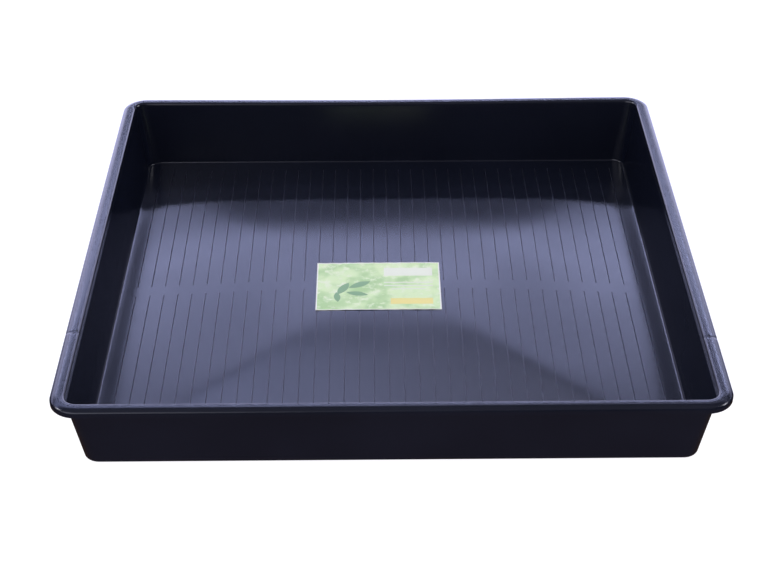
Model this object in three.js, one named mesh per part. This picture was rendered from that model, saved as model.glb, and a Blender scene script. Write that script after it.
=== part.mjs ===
// A square, shallow garden watering tray formed from one plastic sheet, with a
// label stuck on its base. Millimetres, +Z up, origin at the bottom centre.
import * as THREE from 'three';

// ---- driving dimensions (mm) ------------------------------------------------
const OUTER = 1000; // outside of the rim, the same both ways
const HEIGHT = 124; // underside to the top of the rim
const SHEET = 2; // thickness of the formed sheet

const RIM_WIDTH = 22.7; // outside of the rim to the wall below it
const RIM_CREST = 13; // the rim's highest line, in from its outside
const RIM_FALL = 5.5; // height of the curve outside the crest
const RIM_FLAT = 4; // width inside the crest that is nearly flat
const RIM_FLAT_TILT = 6; // degrees, at the end of that width
const LIP_DEPTH = 12.5; // top of the rim to its free lower edge
const RIM_CORNER_R = 43; // plan radius of the rim's outer corner

const WALL_LEAN = 8; // degrees from upright
const WALL_CORNER_R = 23; // plan radius of the inner wall corner
const BASE_FILLET_R = 3.5; // inside radius between wall and base

const CROWN_HALF = 440; // half width of the raised, ribbed field
const CROWN_RISE = 15.6; // how far the middle of the base stands up
const CROWN_SHOULDER = 190; // half width of the almost flat middle
const CROWN_FALL = 1.3; // fall of the base from its middle to there

const RIBS = 37; // ribs in each of the two banks
const RIB_PITCH = 24.05;
const RIB_WIDTH = 1.6;
const RIB_HEIGHT = 0.3;
const RIB_INNER_END = 12.5; // half of the gap between the banks
const RIB_OUTER_END = 433;
const RIB_END_SLOPE = 2; // length of the sloped rib end

const LABEL_W = 213;
const LABEL_D = 148;
const LABEL_THICK = 0.4;
const LABEL_GAP = 0.35; // clear of the rib tops
const LABEL_X = -17.4; // the label sits a little left of the middle
const LABEL_Y = -7.6; // and a little towards the front

const CORNER_STEPS = 8;
const SIDE_STEPS = 4;

// ---- shapes -------------------------------------------------------------------
const rad = THREE.MathUtils.degToRad;

// Height of the base above its flat border: four slopes that meet on the diagonals,
// steeper outside the shoulder than inside it.
function crown(x, y) {
  const m = Math.max(Math.abs(x), Math.abs(y));
  if (m <= CROWN_SHOULDER) return CROWN_RISE - CROWN_FALL * m / CROWN_SHOULDER;
  return (CROWN_RISE - CROWN_FALL) * Math.max(0, CROWN_HALF - m) / (CROWN_HALF - CROWN_SHOULDER);
}

// One closed plan outline, a square of half width h with round corners of radius r.
function roundedSquare(h, r) {
  const points = [];
  const c = h - r;
  const corners = [[c, -c, -90], [c, c, 0], [-c, c, 90], [-c, -c, 180]];
  corners.forEach(([cx, cy, start], k) => {
    const arc = new THREE.EllipseCurve(cx, cy, r, r, rad(start), rad(start + 90), false, 0);
    const corner = arc.getPoints(CORNER_STEPS);
    points.push(...corner);
    const [nx, ny, ns] = corners[(k + 1) % 4];
    const from = corner[corner.length - 1];
    const to = new THREE.Vector2(nx + r * Math.cos(rad(ns)), ny + r * Math.sin(rad(ns)));
    for (let i = 1; i < SIDE_STEPS; i++) points.push(from.clone().lerp(to, i / SIDE_STEPS));
  });
  return points;
}

// The rim's upper surface in section, from the top of the wall to its outside:
// a tight shoulder, a nearly flat crest, then a longer curve down to the lip.
// Each entry is a point and the way it faces.
function rimSection() {
  const out = [];
  const edge = OUTER / 2;
  const tilt = rad(RIM_FLAT_TILT), end = Math.PI / 2 - rad(WALL_LEAN);
  const shoulder = (RIM_WIDTH - RIM_CREST - RIM_FLAT) / (Math.sin(end) - Math.sin(tilt));
  const flat = RIM_FLAT / Math.sin(tilt);
  const add = (u, drop, nx, nz) => out.push({ p: new THREE.Vector2(edge - u, HEIGHT - drop), n: new THREE.Vector2(nx, nz).normalize() });
  for (let i = 0; i < 5; i++) {
    const a = end + (tilt - end) * i / 5;
    add(RIM_CREST + RIM_FLAT + shoulder * (Math.sin(a) - Math.sin(tilt)),
      flat * (1 - Math.cos(tilt)) + shoulder * (Math.cos(tilt) - Math.cos(a)), -Math.sin(a), Math.cos(a));
  }
  add(RIM_CREST + RIM_FLAT, flat * (1 - Math.cos(tilt)), -Math.sin(tilt), Math.cos(tilt));
  for (let i = 0; i <= 7; i++) {
    const a = Math.PI / 2 * (1 - i / 7);
    add(RIM_CREST * (1 - Math.cos(a)), RIM_FALL * (1 - Math.sin(a)), Math.cos(a) / RIM_CREST, Math.sin(a) / RIM_FALL);
  }
  return out;
}

// The section of the shell as stations of half width, height and corner radius,
// from the base inside, over the rim, and down the outside to the underside.
function shellStations() {
  const out = [];
  const rim = rimSection();
  const rimCentre = OUTER / 2 - RIM_CORNER_R;
  const turn = Math.PI / 2 - rad(WALL_LEAN); // turn of the base fillet
  const baseInner = rim[0].p.x - Math.tan(rad(WALL_LEAN)) * (rim[0].p.y - SHEET);
  const filletX = baseInner - BASE_FILLET_R * Math.tan(turn / 2);
  const filletZ = SHEET + BASE_FILLET_R;
  const steps = 5;
  const fillet = (r, corner, backwards) => {
    for (let i = 0; i <= steps; i++) {
      const t = turn * (backwards ? steps - i : i) / steps;
      const h = filletX + r * Math.sin(t);
      out.push([h, filletZ - r * Math.cos(t), corner - (filletX + r * Math.sin(turn) - h)]);
    }
  };
  fillet(BASE_FILLET_R, WALL_CORNER_R, false);
  for (const { p } of rim) out.push([p.x, p.y, p.x - rimCentre]);
  out.push([OUTER / 2, HEIGHT - LIP_DEPTH, RIM_CORNER_R]);
  out.push([OUTER / 2 - SHEET, HEIGHT - LIP_DEPTH, RIM_CORNER_R - SHEET]);
  for (const { p, n } of rim.reverse()) {
    const q = p.clone().addScaledVector(n, -SHEET);
    out.push([q.x, q.y, q.x - rimCentre]);
  }
  fillet(BASE_FILLET_R + SHEET, WALL_CORNER_R + SHEET, true);
  return out;
}

// A closed mesh under construction.
class Body {
  constructor() { this.points = []; this.faces = []; }
  point(x, y, z) { return this.points.push([x, y, z]) - 1; }
  quad(a, b, c, d) { this.faces.push([a, b, c], [a, c, d]); }
  // Fills the flat strip between an outer and an inner loop, both anticlockwise.
  strip(outer, inner, up) {
    const turn = (loop) => {
      const angle = (i) => Math.atan2(this.points[i][1], this.points[i][0]);
      let k = 0;
      loop.forEach((v, i) => { if (angle(v) < angle(loop[k])) k = i; });
      const turned = loop.slice(k).concat(loop.slice(0, k));
      return { ids: turned.concat(turned[0]), at: turned.map(angle).concat(angle(turned[0]) + 2 * Math.PI) };
    };
    const o = turn(outer), n = turn(inner);
    let i = 0, j = 0;
    while (i < o.ids.length - 1 || j < n.ids.length - 1) {
      const stepOuter = j === n.ids.length - 1 || (i < o.ids.length - 1 && o.at[i + 1] <= n.at[j + 1]);
      const f = stepOuter ? [o.ids[i], o.ids[++i], n.ids[j]] : [o.ids[i], n.ids[j + 1], n.ids[j]];
      if (!stepOuter) j++;
      this.faces.push(up ? f : [f[0], f[2], f[1]]);
    }
  }
  // A height field over the lines xs and ys; returns its border, anticlockwise.
  field(xs, ys, z, up) {
    const id = ys.map((y) => xs.map((x) => this.point(x, y, z(x, y))));
    for (let r = 0; r < ys.length - 1; r++) {
      for (let c = 0; c < xs.length - 1; c++) {
        const a = id[r][c], b = id[r][c + 1], d = id[r + 1][c + 1], e = id[r + 1][c];
        // the split follows the diagonal creases of the base
        const slash = (xs[c] + xs[c + 1]) * (ys[r] + ys[r + 1]) > 0;
        const tris = slash ? [[a, b, d], [a, d, e]] : [[a, b, e], [b, d, e]];
        for (const t of tris) this.faces.push(up ? t : [t[0], t[2], t[1]]);
      }
    }
    const last = ys.length - 1, end = xs.length - 1, border = [];
    for (let c = 0; c < end; c++) border.push(id[0][c]);
    for (let r = 0; r < last; r++) border.push(id[r][end]);
    for (let c = end; c > 0; c--) border.push(id[last][c]);
    for (let r = last; r > 0; r--) border.push(id[r][0]);
    return border;
  }
  mesh(name, material) {
    const geometry = new THREE.BufferGeometry();
    geometry.setAttribute('position', new THREE.Float32BufferAttribute(this.points.flat(), 3));
    geometry.setIndex(this.faces.flat());
    geometry.computeVertexNormals();
    const mesh = new THREE.Mesh(geometry, material);
    mesh.name = name;
    return mesh;
  }
}

const mirrored = (list) => [...list.map((v) => -v).reverse(), ...(list[0] === 0 ? list.slice(1) : list)];

// ---- tray: base, walls, rim and ribs in one sheet ----------------------------------
function buildTray() {
  const body = new Body();
  const rings = shellStations().map(([h, z, r]) => roundedSquare(h, r).map((p) => body.point(p.x, p.y, z)));
  for (let k = 0; k < rings.length - 1; k++) {
    const a = rings[k], b = rings[k + 1], n = a.length;
    for (let i = 0; i < n; i++) body.quad(a[i], b[i], b[(i + 1) % n], a[(i + 1) % n]);
  }
  // inside: the crowned field with its ribs
  const ribX = Array.from({ length: RIBS }, (_, i) => (i - (RIBS - 1) / 2) * RIB_PITCH);
  const crest = new Set(ribX);
  const xs = [-CROWN_HALF, ...ribX.flatMap((x) => [x - RIB_WIDTH / 2, x, x + RIB_WIDTH / 2]), CROWN_HALF];
  const full = [RIB_INNER_END + RIB_END_SLOPE, 90, CROWN_SHOULDER, 265, 340, 395, RIB_OUTER_END - RIB_END_SLOPE];
  const ys = mirrored([RIB_INNER_END, ...full, RIB_OUTER_END, CROWN_HALF]);
  const raised = new Set(full);
  const inside = (x, y) => SHEET + crown(x, y)
    + (crest.has(x) && raised.has(Math.abs(y)) ? RIB_HEIGHT : 0);
  body.strip(rings[0], body.field(xs, ys, inside, true), true);
  // underside: the plain hollow of the same sheet
  const lines = mirrored([0, 90, CROWN_SHOULDER, 265, 340, 395, CROWN_HALF]);
  body.strip(rings[rings.length - 1], body.field(lines, lines, crown, false), false);
  return body.mesh('tray', new THREE.MeshStandardMaterial({ color: 0x17171d, roughness: 0.32, metalness: 0 }));
}

// ---- label: a thin sheet lying on the rib tops ----------------------------------------
function buildLabel() {
  const body = new Body();
  const span = (centre, width, n) => Array.from({ length: n + 1 }, (_, i) => centre - width / 2 + width * i / n);
  const xs = span(LABEL_X, LABEL_W, 8);
  const ys = span(LABEL_Y, LABEL_D, 6);
  const low = SHEET + RIB_HEIGHT + LABEL_GAP;
  const top = body.field(xs, ys, (x, y) => low + LABEL_THICK + crown(x, y), true);
  const under = body.field(xs, ys, (x, y) => low + crown(x, y), false);
  top.forEach((v, i) => {
    const k = (i + 1) % top.length;
    body.quad(under[i], under[k], top[k], v);
  });
  return body.mesh('label', new THREE.MeshStandardMaterial({ color: 0xc9dcb8, roughness: 0.6, metalness: 0 }));
}

const wateringTray = new THREE.Group();
wateringTray.add(buildTray(), buildLabel());

export default wateringTray;
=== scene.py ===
"""A square garden watering tray: one formed sheet of black plastic with a stuck-on label."""

import math

import bpy
import numpy as np
from mathutils import Matrix, Vector


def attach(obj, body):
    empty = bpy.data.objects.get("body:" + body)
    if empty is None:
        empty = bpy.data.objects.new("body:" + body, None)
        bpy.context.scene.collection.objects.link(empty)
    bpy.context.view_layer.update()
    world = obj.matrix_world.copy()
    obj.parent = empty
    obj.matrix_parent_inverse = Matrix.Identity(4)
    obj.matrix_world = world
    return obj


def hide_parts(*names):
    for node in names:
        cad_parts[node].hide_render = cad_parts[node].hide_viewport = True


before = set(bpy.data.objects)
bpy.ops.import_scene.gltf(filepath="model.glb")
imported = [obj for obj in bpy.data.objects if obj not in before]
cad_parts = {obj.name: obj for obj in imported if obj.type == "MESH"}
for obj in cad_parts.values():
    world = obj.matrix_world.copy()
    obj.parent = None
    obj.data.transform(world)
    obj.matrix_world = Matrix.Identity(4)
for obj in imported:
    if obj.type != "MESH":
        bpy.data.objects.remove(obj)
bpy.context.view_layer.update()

# ---- sizes, in millimetres, as in the CAD model --------------------------------------
OUTER = 1000.0
HEIGHT = 124.0
SHEET = 2.0
RIM_WIDTH = 22.7
RIM_CREST = 13.0
RIM_FALL = 5.5
RIM_FLAT = 4.0
RIM_FLAT_TILT = 6.0
LIP_DEPTH = 12.5
RIM_CORNER_R = 43.0
WALL_LEAN = 8.0
WALL_CORNER_R = 23.0
BASE_FILLET_R = 3.5
CROWN_HALF = 450.0
CROWN_RISE = 15.6
# where each slope of the base starts, how soft that is, and where it ends: sides, rear and front
CROWN_SHOULDERS = (255.0, 60.0, 450.0), (205.0, 75.0, 438.0), (138.0, 95.0, 450.0)
# how soft the creases between the slopes are, in front and near the rear corners
CROWN_CREASES = 0.6, 4.4
CROWN_SLOPES = (0.0079, 0.0767)
RIBS = 37
RIB_PITCH = 24.05
RIB_SHIFT = -0.95
GAP_SHIFT = -0.9
RIB_HALF = 0.8
RIB_HEIGHT = 0.3
RIB_INNER_END = 12.5
RIB_OUTER_END = 433.0
RIB_END_SLOPE = 4.0
LABEL_W, LABEL_D, LABEL_THICK = 213.0, 148.0, 0.3
LABEL_X, LABEL_Y = -17.4, -7.4

# how far the rim of each long side stands out of straight, as a + b t + c t^2 along it
BOW = {"left": (2.1, 0.5, -0.9), "right": (1.6, 0.2, -0.4), "back": (-0.6, 0.0, 0.0), "front": (-0.6, 0.0, 0.0)}
SAG = {"left": 0.3, "right": 0.3, "back": 2.8, "front": 0.2}
# where a faint set mark crosses the rim
RIM_MARKS = {"left": -296.0, "right": -321.0}


# ---- camera, at the photograph's viewing angle -----------------------------------------
def make_camera():
    pitch, yaw, roll = 0.5776299, 0.0062361, -0.0035394
    place = Vector((-0.0231856, -2.4647535, 1.6144846))
    forward = Vector((math.sin(yaw) * math.cos(pitch), math.cos(yaw) * math.cos(pitch), -math.sin(pitch)))
    level = Vector((math.cos(yaw), -math.sin(yaw), 0.0))
    above = level.cross(forward)
    right = math.cos(roll) * level + math.sin(roll) * above
    up = -math.sin(roll) * level + math.cos(roll) * above
    data = bpy.data.cameras.new("camera")
    data.sensor_width = 36.0
    data.lens = 1705.8545 / 768.0 * 36.0
    data.clip_end = 60.0
    cam = bpy.data.objects.new("camera", data)
    bpy.context.scene.collection.objects.link(cam)
    m = Matrix((right, up, -forward)).transposed().to_4x4()
    m.translation = place
    cam.matrix_world = m
    bpy.context.scene.camera = cam


# ---- shape helpers ------------------------------------------------------------------------
def smooth(v, lo, hi):
    t = np.clip((v - lo) / (hi - lo), 0.0, 1.0)
    return t * t * (3 - 2 * t)


def crown_profile(shoulder, soft, end):
    """Rise of the base by the distance from its middle: almost flat, then a slope down to the border."""
    d = np.arange(0.0, end + 0.5, 0.5)
    top, side = CROWN_SLOPES
    slope = top + (side - top) * smooth(d, shoulder - soft, shoulder + soft)
    fall = np.concatenate([[0.0], np.cumsum(0.25 * (slope[1:] + slope[:-1]))])
    return d, CROWN_RISE * (1.0 - fall / fall[-1])


SIDES, REAR, FRONT = (crown_profile(*s) for s in CROWN_SHOULDERS)


def crown(x, y):
    """Rise of the base: four low slopes that meet on the diagonals in a soft crease."""
    ax, ay = np.abs(x), np.abs(y)
    rear = smooth(y, -220.0, 220.0)
    a = rear * np.interp(ax, *SIDES) + (1 - rear) * np.interp(ax, *FRONT)
    b = np.where(y > 0, np.interp(ay, *REAR), np.interp(ay, *FRONT))
    crease = CROWN_CREASES[0] + (CROWN_CREASES[1] - CROWN_CREASES[0]) * smooth(y, 120.0, 340.0)
    return np.maximum(0.5 * (a + b - np.sqrt((a - b) ** 2 + crease**2)), 0.0)


def side_steps():
    """Places along each of the four sides, from corner to corner: right, back, left, front."""
    even = np.arange(1, 36) / 36.0
    half = OUTER / 2 - RIM_CORNER_R
    mark = np.array([-9.0, -5.0, -3.0, -1.5, 0.0, 1.5, 3.0, 5.0, 9.0])

    def with_mark(ts):
        keep = even[np.min(np.abs(even[:, None] - ts[None]), 1) > 0.006]
        return np.sort(np.concatenate([keep, ts]))

    right = with_mark((RIM_MARKS["right"] + mark + half) / (2 * half))
    left = with_mark((half - RIM_MARKS["left"] + mark) / (2 * half))
    return [right, even, left, even]


SIDE_STEPS = side_steps()


def outline(h, r, corner_steps=14):
    """A round-cornered square of half width h, anticlockwise."""
    c = h - r
    centres = [(c, -c, -90), (c, c, 0), (-c, c, 90), (-c, -c, 180)]
    pts = []
    for k, (cx, cy, start) in enumerate(centres):
        a = np.radians(start + 90.0 * np.arange(corner_steps + 1) / corner_steps)
        corner = np.stack([cx + r * np.cos(a), cy + r * np.sin(a)], 1)
        pts.append(corner)
        nx, ny, ns = centres[(k + 1) % 4]
        b = math.radians(ns)
        to = np.array([nx + r * math.cos(b), ny + r * math.sin(b)])
        t = SIDE_STEPS[k][:, None]
        pts.append(corner[-1] + (to - corner[-1]) * t)
    return np.concatenate(pts)


def rim_section():
    """The rim's upper surface, from the wall to its outside: half width, height and facing."""
    out = []
    tilt, end = math.radians(RIM_FLAT_TILT), math.pi / 2 - math.radians(WALL_LEAN)
    shoulder = (RIM_WIDTH - RIM_CREST - RIM_FLAT) / (math.sin(end) - math.sin(tilt))
    flat = RIM_FLAT / math.sin(tilt)

    def add(u, drop, nx, nz):
        n = math.hypot(nx, nz)
        out.append((OUTER / 2 - u, HEIGHT - drop, nx / n, nz / n))

    for a in np.linspace(end, tilt, 15)[:-1]:
        add(RIM_CREST + RIM_FLAT + shoulder * (math.sin(a) - math.sin(tilt)),
            flat * (1 - math.cos(tilt)) + shoulder * (math.cos(tilt) - math.cos(a)), -math.sin(a), math.cos(a))
    for a in np.linspace(tilt, 0.0, 5)[:-1]:
        add(RIM_CREST + flat * math.sin(a), flat * (1 - math.cos(a)), -math.sin(a), math.cos(a))
    for a in np.linspace(math.pi / 2, 0.0, 19):
        add(RIM_CREST * (1 - math.cos(a)), RIM_FALL * (1 - math.sin(a)), math.cos(a) / RIM_CREST, math.sin(a) / RIM_FALL)
    return out


def stations():
    """The shell's section: half width, height and corner radius, from the base inside, over the rim, to the underside."""
    out = []
    rim = rim_section()
    centre = OUTER / 2 - RIM_CORNER_R
    lean = math.radians(WALL_LEAN)
    turn = math.pi / 2 - lean
    base_inner = rim[0][0] - math.tan(lean) * (rim[0][1] - SHEET)
    fx = base_inner - BASE_FILLET_R * math.tan(turn / 2)
    fz = SHEET + BASE_FILLET_R
    n = 9

    def fillet(r, corner, backwards):
        for i in range(n + 1):
            t = turn * (n - i if backwards else i) / n
            h = fx + r * math.sin(t)
            out.append((h, fz - r * math.cos(t), corner - (fx + r * math.sin(turn) - h)))

    def wall(a, b, steps):
        for i in range(1, steps):
            t = i / steps
            out.append(tuple(p + (q - p) * t for p, q in zip(a, b)))

    fillet(BASE_FILLET_R, WALL_CORNER_R, False)
    wall(out[-1], (rim[0][0], rim[0][1], rim[0][0] - centre), 10)
    out.extend((x, z, x - centre) for x, z, _, _ in rim)
    edge = SHEET / 2
    low = HEIGHT - LIP_DEPTH + edge
    for i in range(9):
        t = -math.pi * i / 8
        x = OUTER / 2 - edge + edge * math.cos(t)
        out.append((x, low + edge * math.sin(t), x - centre))
    under = [(x - SHEET * nx, z - SHEET * nz) for x, z, nx, nz in reversed(rim)]
    out.extend((x, z, x - centre) for x, z in under)
    r = BASE_FILLET_R + SHEET
    wall(out[-1], (fx + r * math.sin(turn), fz - r * math.cos(turn), WALL_CORNER_R + SHEET), 10)
    fillet(r, WALL_CORNER_R + SHEET, True)
    return out


def bow(p):
    """The small bow and sag that a large formed tray takes as it cools, strongest at the rim."""
    x, y, z = p[:, 0].copy(), p[:, 1].copy(), p[:, 2].copy()
    lift = np.clip(z / HEIGHT, 0.0, 1.0) ** 1.6
    for side, along, across, sign in (("left", 1, 0, -1), ("right", 1, 0, 1), ("back", 0, 1, 1), ("front", 0, 1, -1)):
        t = np.clip(p[:, along] / 490.0, -1.0, 1.0)
        on = np.clip((sign * p[:, across] - 425.0) / 30.0, 0.0, 1.0)
        on = on * on * (3 - 2 * on)
        a, b, c = BOW[side]
        out = (a + b * t + c * t * t) * lift * on
        if across == 0:
            x += sign * out
        else:
            y += sign * out
        z -= SAG[side] * (1.0 - t * t) ** 2 * lift * on
        if side in RIM_MARKS:
            high = np.clip((p[:, 2] - HEIGHT + 12.0) / 4.0, 0.0, 1.0)
            z -= 0.35 * np.exp(-(((p[:, 1] - RIM_MARKS[side]) / 2.4) ** 2)) * high * (sign * p[:, 0] > 476.0)
    return np.stack([x, y, z], 1)


def mesh_object(name, points, quads, tris=()):
    me = bpy.data.meshes.new(name)
    faces = [tuple(map(int, q)) for q in quads] + [tuple(map(int, t)) for t in tris]
    me.from_pydata([tuple(map(float, p)) for p in np.asarray(points) * 0.001], [], faces)
    me.validate()
    me.polygons.foreach_set("use_smooth", np.ones(len(me.polygons), bool))
    me.update()
    ob = bpy.data.objects.new(name, me)
    bpy.context.scene.collection.objects.link(ob)
    return ob


def strip(points, outer, inner, up):
    """Triangles that fill the flat strip between two anticlockwise loops."""

    def turned(loop):
        a = np.arctan2(points[loop, 1], points[loop, 0])
        k = int(np.argmin(a))
        ids = np.concatenate([loop[k:], loop[:k]])
        a = np.concatenate([a[k:], a[:k]])
        return np.append(ids, ids[0]), np.append(a, a[0] + 2 * math.pi)

    o, oa = turned(outer)
    n, na = turned(inner)
    i = j = 0
    tris = []
    while i < len(o) - 1 or j < len(n) - 1:
        if j == len(n) - 1 or (i < len(o) - 1 and oa[i + 1] <= na[j + 1]):
            f = (o[i], o[i + 1], n[j])
            i += 1
        else:
            f = (o[i], n[j + 1], n[j])
            j += 1
        tris.append(f if up else (f[0], f[2], f[1]))
    return tris


def field_faces(nx, ny, base, up):
    """Quads of a grid of nx by ny points, and its border, anticlockwise."""
    ids = base + np.arange(nx * ny).reshape(ny, nx)
    a, b, c, d = ids[:-1, :-1], ids[:-1, 1:], ids[1:, 1:], ids[1:, :-1]
    order = (a, b, c, d) if up else (a, d, c, b)
    quads = np.stack([k.ravel() for k in order], 1)
    border = np.concatenate([ids[0, :-1], ids[:-1, -1], ids[-1, :0:-1], ids[:0:-1, 0]])
    return quads, border


def rib_rise(x, y):
    """Height of the fine ribs above the base."""
    k = np.round((x - RIB_SHIFT) / RIB_PITCH)
    k = np.clip(k, -(RIBS - 1) / 2, (RIBS - 1) / 2)
    d = np.abs(x - RIB_SHIFT - k * RIB_PITCH) / RIB_HALF
    section = np.where(d < 1.0, 0.5 + 0.5 * np.cos(np.pi * np.clip(d, 0, 1)), 0.0)
    near = np.clip((np.abs(y - GAP_SHIFT) - RIB_INNER_END) / RIB_END_SLOPE, 0.0, 1.0)
    far = np.clip((RIB_OUTER_END - np.abs(y)) / RIB_END_SLOPE, 0.0, 1.0)
    ends = near * near * (3 - 2 * near) * far * far * (3 - 2 * far)
    return RIB_HEIGHT * section * ends


# ---- tray ---------------------------------------------------------------------------------
def build_tray():
    sections = stations()
    loops = [outline(h, r) for h, z, r in sections]
    n = len(loops[0])
    pts = [np.column_stack([lp, np.full(n, s[1])]) for lp, s in zip(loops, sections)]
    points = np.concatenate(pts)
    ids = np.arange(len(points)).reshape(len(sections), n)
    nxt = np.roll(ids, -1, axis=1)
    quads = np.stack([ids[:-1].ravel(), ids[1:].ravel(), nxt[1:].ravel(), nxt[:-1].ravel()], 1)
    # the ribbed field inside
    half = np.array([0.25, 0.5, 0.75, 1.0, 1.3, 1.8]) * RIB_HALF
    offs = np.concatenate([[-8.0], -half[::-1], [0.0], half, [8.0]])
    ribs = RIB_SHIFT + (np.arange(RIBS) - (RIBS - 1) / 2) * RIB_PITCH
    xs = np.unique(np.round(np.concatenate([[-CROWN_HALF, CROWN_HALF], (ribs[:, None] + offs[None]).ravel()]), 4))
    xs = xs[np.abs(xs) <= CROWN_HALF]
    a, b, s = RIB_INNER_END, RIB_OUTER_END, RIB_END_SLOPE
    near = np.concatenate([[4.2, 8.4], a + s * np.linspace(0, 1, 5)])
    far = np.concatenate([b - s + s * np.linspace(0, 1, 5), [CROWN_HALF]])
    front, back = GAP_SHIFT - near[::-1], GAP_SHIFT + near
    ys = np.concatenate([
        -far[::-1], np.linspace(s - b, front[0], 48)[1:-1], front, back, np.linspace(back[-1], b - s, 48)[1:-1], far])
    X, Y = np.meshgrid(xs, ys)
    Z = SHEET + crown(X, Y) + rib_rise(X, Y)
    edge = (np.abs(X) >= CROWN_HALF) | (np.abs(Y) >= CROWN_HALF)
    Z[edge] = SHEET
    top = np.column_stack([X.ravel(), Y.ravel(), Z.ravel()])
    q_top, border_top = field_faces(len(xs), len(ys), len(points), True)
    points = np.concatenate([points, top])
    # the plain underside
    us = np.linspace(-CROWN_HALF, CROWN_HALF, 73)
    X, Y = np.meshgrid(us, us)
    Z = crown(X, Y)
    Z[(np.abs(X) >= CROWN_HALF) | (np.abs(Y) >= CROWN_HALF)] = 0.0
    q_low, border_low = field_faces(len(us), len(us), len(points), False)
    points = np.concatenate([points, np.column_stack([X.ravel(), Y.ravel(), Z.ravel()])])
    tris = strip(points, ids[0], border_top, True) + strip(points, ids[-1], border_low, False)
    return mesh_object("tray_shell", bow(points), np.concatenate([quads, q_top, q_low]), tris)


# ---- label --------------------------------------------------------------------------------
def build_label():
    """A thin printed sheet that lies over the rib tops and dips a little between them."""
    nx, ny = 140, 60
    xs = LABEL_X + LABEL_W * (np.linspace(0, 1, nx) - 0.5)
    ys = LABEL_Y + LABEL_D * (np.linspace(0, 1, ny) - 0.5)
    X, Y = np.meshgrid(xs, ys)
    between = 0.5 - 0.5 * np.cos(2 * np.pi * (X - RIB_SHIFT) / RIB_PITCH)
    gap = np.clip(1.0 - np.abs(Y - GAP_SHIFT) / RIB_INNER_END, 0.0, 1.0)
    dip = 0.3 * between + 0.1 * gap * gap * (3 - 2 * gap)
    curl = 0.5 * np.clip((np.abs(Y - LABEL_Y) / (LABEL_D / 2) - 0.86) / 0.14, 0, 1) ** 2
    low = SHEET + crown(X, Y) + RIB_HEIGHT + 0.12 - dip + curl * (0.4 + 0.6 * np.sin(X / 31.0) ** 2)
    q_top, b_top = field_faces(nx, ny, 0, True)
    q_low, b_low = field_faces(nx, ny, nx * ny, False)
    top = np.column_stack([X.ravel(), Y.ravel(), (low + LABEL_THICK).ravel()])
    under = np.column_stack([X.ravel(), Y.ravel(), low.ravel()])
    low_loop = nx * ny + b_top
    side = np.stack([low_loop, np.roll(low_loop, -1), np.roll(b_top, -1), b_top], 1)
    return mesh_object("label_sheet", np.concatenate([top, under]), np.concatenate([q_top, q_low, side]))


# ---- materials ----------------------------------------------------------------------------
class Nodes:
    """A short way to write a material's node tree."""

    def __init__(self, name):
        self.material = bpy.data.materials.new(name)
        self.material.use_nodes = True
        self.tree = self.material.node_tree
        self.tree.nodes.clear()
        self.out = self.tree.nodes.new("ShaderNodeOutputMaterial")
        self.bsdf = self.tree.nodes.new("ShaderNodeBsdfPrincipled")
        self.link(self.bsdf.outputs[0], self.out.inputs[0])

    def link(self, a, b):
        self.tree.links.new(a, b)

    def put(self, value, socket):
        if isinstance(value, bpy.types.NodeSocket):
            self.link(value, socket)
        else:
            socket.default_value = value

    def math(self, op, a, b=0.0, c=0.0):
        n = self.tree.nodes.new("ShaderNodeMath")
        n.operation = op
        for v, s in zip((a, b, c), n.inputs):
            self.put(v, s)
        return n.outputs[0]

    def ramp(self, v, lo, hi, to_lo=0.0, to_hi=1.0):
        n = self.tree.nodes.new("ShaderNodeMapRange")
        n.interpolation_type = "SMOOTHSTEP"
        for x, s in zip((v, lo, hi, to_lo, to_hi), n.inputs):
            self.put(x, s)
        return n.outputs[0]

    def mix(self, fac, a, b):
        n = self.tree.nodes.new("ShaderNodeMix")
        n.data_type = "RGBA"
        self.put(fac, n.inputs[0])
        self.put(a, n.inputs[6])
        self.put(b, n.inputs[7])
        return n.outputs[2]

    def coords(self):
        n = self.tree.nodes.new("ShaderNodeTexCoord")
        return n.outputs["Object"]

    def scaled(self, vec, scale):
        n = self.tree.nodes.new("ShaderNodeMapping")
        self.put(vec, n.inputs[0])
        n.inputs["Scale"].default_value = scale
        return n.outputs[0]

    def noise(self, vec, scale, detail=3.0, rough=0.55):
        n = self.tree.nodes.new("ShaderNodeTexNoise")
        self.put(vec, n.inputs["Vector"])
        n.inputs["Scale"].default_value = scale
        n.inputs["Detail"].default_value = detail
        n.inputs["Roughness"].default_value = rough
        return n.outputs["Fac"]

    def bump(self, height, strength, distance, normal=None):
        n = self.tree.nodes.new("ShaderNodeBump")
        n.inputs["Strength"].default_value = strength
        n.inputs["Distance"].default_value = distance
        self.put(height, n.inputs["Height"])
        if normal is not None:
            self.link(normal, n.inputs["Normal"])
        return n.outputs[0]


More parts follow.
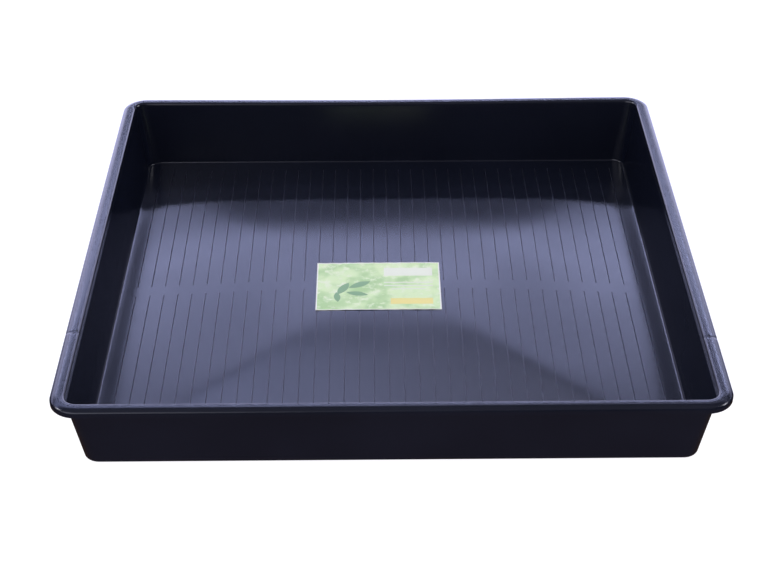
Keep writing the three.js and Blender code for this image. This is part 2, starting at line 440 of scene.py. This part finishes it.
def plastic():
    """Black formed plastic: a soft gloss that varies a little from place to place, with painted shade on the left and
    right inner walls, which lose nearly all their gloss.
    """
    m = Nodes("black_plastic")
    p = m.coords()
    broad = m.noise(p, 7.0, 3.0)
    fine = m.noise(p, 260.0, 2.0, 0.5)
    tint = m.ramp(broad, 0.35, 0.7)
    m.put(m.mix(tint, (0.0052, 0.0065, 0.0144, 1), (0.0060, 0.0075, 0.0166, 1)), m.bsdf.inputs["Base Color"])
    rough = m.math("ADD", m.ramp(broad, 0.3, 0.7, 0.190, 0.210), m.ramp(fine, 0.35, 0.7, 0.0, 0.01))
    # the fine ribs are duller than the sheet between them
    sep = m.tree.nodes.new("ShaderNodeSeparateXYZ")
    m.link(p, sep.inputs[0])
    x, y, z = (m.math("MULTIPLY", o, 1000.0) for o in sep.outputs)
    off = m.math("ABSOLUTE", m.math("WRAP", m.math("SUBTRACT", x, RIB_SHIFT), RIB_PITCH / 2, -RIB_PITCH / 2))
    rib = m.ramp(off, RIB_HALF * 0.8, RIB_HALF * 1.2, 1.0, 0.0)
    ends = m.math("ABSOLUTE", m.math("SUBTRACT", y, GAP_SHIFT))
    rib = m.math("MULTIPLY", rib, m.ramp(ends, RIB_INNER_END, RIB_INNER_END + RIB_END_SLOPE))
    rib = m.math("MULTIPLY", rib, m.ramp(m.math("ABSOLUTE", y), RIB_OUTER_END - RIB_END_SLOPE, RIB_OUTER_END, 1.0, 0.0))
    rib = m.math("MULTIPLY", rib, m.ramp(m.math("ABSOLUTE", x), RIB_OUTER_END + 2.0, RIB_OUTER_END + 4.0, 1.0, 0.0))
    rib = m.math("MULTIPLY", rib, m.ramp(z, SHEET, SHEET + 0.2))
    m.put(m.math("MULTIPLY_ADD", rib, 0.22, rough), m.bsdf.inputs["Roughness"])
    # painted shade: the left and right inner walls shine far less than the base and the rim; their specular level drops
    # almost to nothing, which keeps them dark
    wall = m.math("MULTIPLY", m.ramp(z, 5.0, 9.0), m.ramp(z, HEIGHT - 14.0, HEIGHT - 8.0, 1.0, 0.0))
    side = m.math("SUBTRACT", m.math("ABSOLUTE", x), m.math("ABSOLUTE", y))
    wall = m.math("MULTIPLY", wall, m.ramp(side, -8.0, 12.0))
    wall = m.math("MULTIPLY", wall, m.ramp(m.math("ABSOLUTE", x), 458.5, 460.5))
    m.put(m.ramp(wall, 0.0, 1.0, 0.5, 0.004), m.bsdf.inputs["Specular IOR Level"])
    m.bsdf.inputs["IOR"].default_value = 1.5
    m.put(m.bump(fine, 0.004, 0.0004), m.bsdf.inputs["Normal"])
    return m.material


def printed_paper():
    """A coated paper sticker: pale mottled green in a white margin, with a plain leaf sprig and a yellow strip."""
    m = Nodes("label_print")
    p = m.coords()
    sep = m.tree.nodes.new("ShaderNodeSeparateXYZ")
    m.link(p, sep.inputs[0])
    u = m.math("MULTIPLY", m.math("SUBTRACT", sep.outputs[0], (LABEL_X - LABEL_W / 2) * 0.001), 1000.0)
    v = m.math("MULTIPLY", m.math("SUBTRACT", sep.outputs[1], (LABEL_Y - LABEL_D / 2) * 0.001), 1000.0)

    def panel(cx, cy, w, h, soft=0.5):
        """1 inside a rectangle given by its centre and size, in label millimetres."""
        dx = m.math("SUBTRACT", m.math("ABSOLUTE", m.math("SUBTRACT", u, cx)), w / 2)
        dy = m.math("SUBTRACT", m.math("ABSOLUTE", m.math("SUBTRACT", v, cy)), h / 2)
        return m.ramp(m.math("MAXIMUM", dx, dy), -soft, soft, 1.0, 0.0)

    def leaf(cx, cy, angle, length, width):
        """1 inside a pointed leaf."""
        c, s = math.cos(math.radians(angle)), math.sin(math.radians(angle))
        x = m.math("SUBTRACT", u, cx)
        y = m.math("SUBTRACT", v, cy)
        along = m.math("ADD", m.math("MULTIPLY", x, c), m.math("MULTIPLY", y, s))
        across = m.math("SUBTRACT", m.math("MULTIPLY", y, c), m.math("MULTIPLY", x, s))
        t = m.math("MULTIPLY", along, 2.0 / length)
        edge = m.math("MULTIPLY", m.math("SUBTRACT", 1.0, m.math("MULTIPLY", t, t)), width / 2)
        return m.ramp(m.math("SUBTRACT", m.math("ABSOLUTE", across), edge), -0.4, 0.4, 1.0, 0.0)

    blot = m.noise(p, 24.0, 2.0, 0.5)
    fine = m.noise(p, 70.0, 3.0, 0.6)
    green = m.mix(m.ramp(blot, 0.36, 0.64), (0.44, 0.66, 0.32, 1), (0.71, 0.87, 0.55, 1))
    green = m.mix(m.ramp(fine, 0.48, 0.72), green, (0.81, 0.90, 0.70, 1))
    sprig = None
    for cx, cy, angle, length, width in ((46, 66, 62, 40, 15), (74, 78, 28, 42, 15), (70, 50, -12, 38, 13), (36, 40, 96, 30, 11)):
        one = leaf(cx, cy, angle, length, width)
        sprig = one if sprig is None else m.math("MAXIMUM", sprig, one)
    colour = m.mix(sprig, green, (0.22, 0.40, 0.22, 1))
    colour = m.mix(panel(158, 118, 84, 26), colour, (0.83, 0.86, 0.78, 1))
    colour = m.mix(panel(163, 26, 72, 18), colour, (0.86, 0.77, 0.30, 1))
    for cy in (84, 74, 64):
        colour = m.mix(panel(158, cy, 84 if cy > 70 else 58, 3.2), colour, (0.78, 0.83, 0.72, 1))
    inside = panel(LABEL_W / 2, LABEL_D / 2, LABEL_W - 4.4, LABEL_D - 4.4)
    colour = m.mix(inside, (0.95, 0.96, 0.95, 1), colour)
    m.put(colour, m.bsdf.inputs["Base Color"])
    grain = m.noise(p, 900.0, 3.0, 0.6)
    m.put(m.ramp(grain, 0.3, 0.7, 0.36, 0.48), m.bsdf.inputs["Roughness"])
    m.put(m.bump(grain, 0.05, 0.0002), m.bsdf.inputs["Normal"])
    return m.material


# ---- stage ----------------------------------------------------------------------------------
def make_floor():
    s = 9.0
    me = bpy.data.meshes.new("floor")
    me.from_pydata([(-s, -s, -0.0006), (s, -s, -0.0006), (s, s, -0.0006), (-s, s, -0.0006)], [], [(0, 1, 2, 3)])
    floor = bpy.data.objects.new("floor", me)
    bpy.context.scene.collection.objects.link(floor)
    m = Nodes("pale_floor")
    m.bsdf.inputs["Base Color"].default_value = (0.36, 0.36, 0.36, 1)
    m.bsdf.inputs["Roughness"].default_value = 0.9
    m.bsdf.inputs["Specular IOR Level"].default_value = 0.0
    m.bsdf.inputs["Emission Color"].default_value = (0.97, 0.96, 1.0, 1)
    m.bsdf.inputs["Emission Strength"].default_value = 0.94
    me.materials.append(m.material)
    floor.visible_glossy = False


# the studio as the gloss sees it. Each soft box has its bearing range (degrees to the right of
# straight behind the tray) and edge, its height range (degrees above the floor) and lower and
# upper edges, and its light
SOFT_BOXES = (
    ("table", (-33.5, 34), 14, (-30.0, 21.3), (16.0, 3.7), (2.63, 2.69, 4.11)),
    ("strip_left", (-24, -12), 6, (30.4, 32.0), (2.2, 1.9), (12.00, 13.00, 21.80)),
    ("strip", (-12, 13), 6, (31.1, 32.7), (2.2, 1.9), (11.60, 12.60, 21.20)),
    ("strip_right", (13, 29), 6, (29.7, 31.2), (2.0, 1.6), (15.00, 16.30, 27.30)),
    ("left_panel", (-75, -2), 16, (39.4, 48.1), (3.0, 6.6), (2.05, 2.30, 4.10)),
    ("right_panel", (-7, 13), 16, (41.6, 46.5), (2.4, 7.0), (2.60, 2.76, 4.33)),
    ("right_far", (13, 75), 16, (42.6, 46.5), (2.4, 7.0), (1.30, 1.38, 2.16)),
    ("left_band", (-60, -17), 8, (20.0, 31.5), (6.0, 4.0), (2.10, 2.15, 3.40)),
    ("right_band", (18, 60), 8, (20.0, 30.0), (6.0, 4.0), (1.20, 1.25, 1.95)),
    ("left_lamp", (-94, -76), 6, (34.0, 46.0), (5.0, 5.0), (14.00, 14.00, 15.50)),
    ("right_lamp", (76, 94), 6, (34.0, 46.0), (5.0, 5.0), (14.00, 14.00, 15.50)),
    ("front_left", (188, 250), 8, (20.0, 60.0), (10.0, 14.0), (1.70, 1.70, 2.00)),
    ("front_panel", (115, 245), 40, (40.0, 70.0), (12.0, 14.0), (0.08, 0.08, 0.10)),
    ("top", None, 1, (60.0, 200.0), (16.0, 1.0), (0.20, 0.20, 0.27)),
    ("shade", None, 1, (-200.0, -18.0), (1.0, 20.0), (0.06, 0.03, 0.00)),
)
DOME = 0.95


def make_light():
    """A plain pale dome for the even light, and soft boxes that show in the gloss."""
    world = bpy.data.worlds.new("studio")
    bpy.context.scene.world = world
    world.use_nodes = True
    t = world.node_tree
    t.nodes.clear()

    def node(kind, **settings):
        n = t.nodes.new(kind)
        for k, v in settings.items():
            setattr(n, k, v)
        return n

    def feed(values, n):
        for v, s in zip(values, n.inputs):
            if isinstance(v, bpy.types.NodeSocket):
                t.links.new(v, s)
            else:
                s.default_value = v
        return n.outputs[0]

    def maths(op, *values):
        return feed(values, node("ShaderNodeMath", operation=op))

    def edge(v, at, width, start, end):
        n = node("ShaderNodeMapRange", interpolation_type="SMOOTHSTEP")
        return feed((v, at - width / 2, at + width / 2, start, end), n)

    out = node("ShaderNodeOutputWorld")
    sep = node("ShaderNodeSeparateXYZ")
    t.links.new(node("ShaderNodeTexCoord").outputs["Generated"], sep.inputs[0])
    height = maths("MULTIPLY", maths("ARCSINE", sep.outputs[2]), 180 / math.pi)
    bearing = maths("MULTIPLY", maths("ARCTAN2", sep.outputs[0], sep.outputs[1]), 180 / math.pi)
    total = None
    for name, span, soft, heights, softs, light in SOFT_BOXES:
        share = maths("MULTIPLY", edge(height, heights[0], softs[0], 0.0, 1.0), edge(height, heights[1], softs[1], 1.0, 0.0))
        if span:
            off = maths("WRAP", maths("SUBTRACT", bearing, (span[0] + span[1]) / 2), 180.0, -180.0)
            share = maths("MULTIPLY", share, edge(maths("ABSOLUTE", off), (span[1] - span[0]) / 2, soft, 1.0, 0.0))
        one = node("ShaderNodeVectorMath", operation="SCALE", name=name)
        one.inputs[0].default_value = light
        t.links.new(share, one.inputs["Scale"])
        if total is None:
            total = one.outputs[0]
        else:
            total = feed((total, one.outputs[0]), node("ShaderNodeVectorMath", operation="ADD"))
    gloss = node("ShaderNodeBackground")
    t.links.new(total, gloss.inputs[0])
    even = node("ShaderNodeBackground")
    even.inputs[0].default_value = (1, 1, 1, 1)
    even.inputs[1].default_value = DOME
    mix = node("ShaderNodeMixShader")
    t.links.new(node("ShaderNodeLightPath").outputs["Is Glossy Ray"], mix.inputs[0])
    t.links.new(even.outputs[0], mix.inputs[1])
    t.links.new(gloss.outputs[0], mix.inputs[2])
    t.links.new(mix.outputs[0], out.inputs[0])


make_camera()
make_floor()
make_light()

tray = build_tray()
tray.data.materials.append(plastic())
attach(tray, "root")
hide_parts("tray")

label = build_label()
label.data.materials.append(printed_paper())
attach(label, "root")
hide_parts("label")

scene = bpy.context.scene
scene.view_settings.view_transform = "Standard"
scene.view_settings.look = "None"
